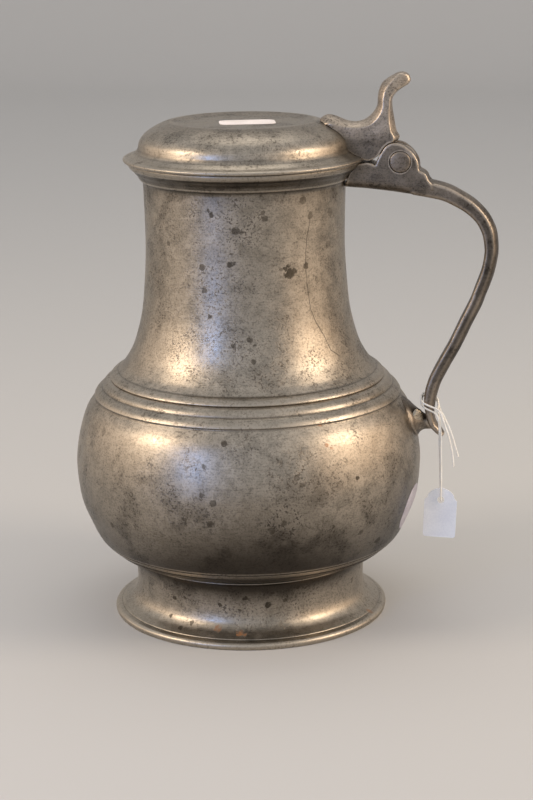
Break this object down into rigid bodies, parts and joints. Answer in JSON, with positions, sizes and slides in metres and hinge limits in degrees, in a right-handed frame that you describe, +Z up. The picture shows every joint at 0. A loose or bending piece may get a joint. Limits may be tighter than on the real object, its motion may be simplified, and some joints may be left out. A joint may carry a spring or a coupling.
{
  "type": "flagon with hinged lid",
  "caption": "Turned pewter flagon with a round belly, spreading foot, hinged domed lid, curled thumbpiece and strap handle; a paper tag hangs from the handle on a string.",
  "frame": {"origin": "middle of the bounding box at its base, without the tag and its string; the foot stands on z = 0 and the turned vessel's own axis is at x = -0.02075", "axes": "+Z up along the turned vessel's axis, +X towards the handle, +Y across the handle, along the hinge pin"},
  "size_m": [0.2312, 0.1898, 0.2982],
  "materials": {
    "turned_pewter": "aged satin pewter with fine pits",
    "cast_pewter": "darker cast pewter, worn light at the edges",
    "pin_metal": "dull dark metal",
    "cotton_string": "matte twisted cotton",
    "paper_card": "matte paper"
  },
  "bodies": {
    "vessel": {"foot": "turned_pewter", "bowl": "turned_pewter", "base_disc": "turned_pewter", "neck": "turned_pewter", "handle": "cast_pewter", "strut": "cast_pewter", "hinge_pin": "pin_metal", "pin_cap_near": "cast_pewter", "pin_cap_far": "cast_pewter", "tag_string": "cotton_string", "tag_card": "paper_card"},
    "lid_with_thumbpiece": {"lid": "turned_pewter", "thumbpiece": "cast_pewter"}
  },
  "joints": [
    {"name": "lid_hinge", "type": "hinge", "parent": "vessel", "child": "lid_with_thumbpiece", "pos_m": [0.06355, 0, 0.2513], "axis": [0, 1, 0], "range_deg": [0, 100]}
  ]
}
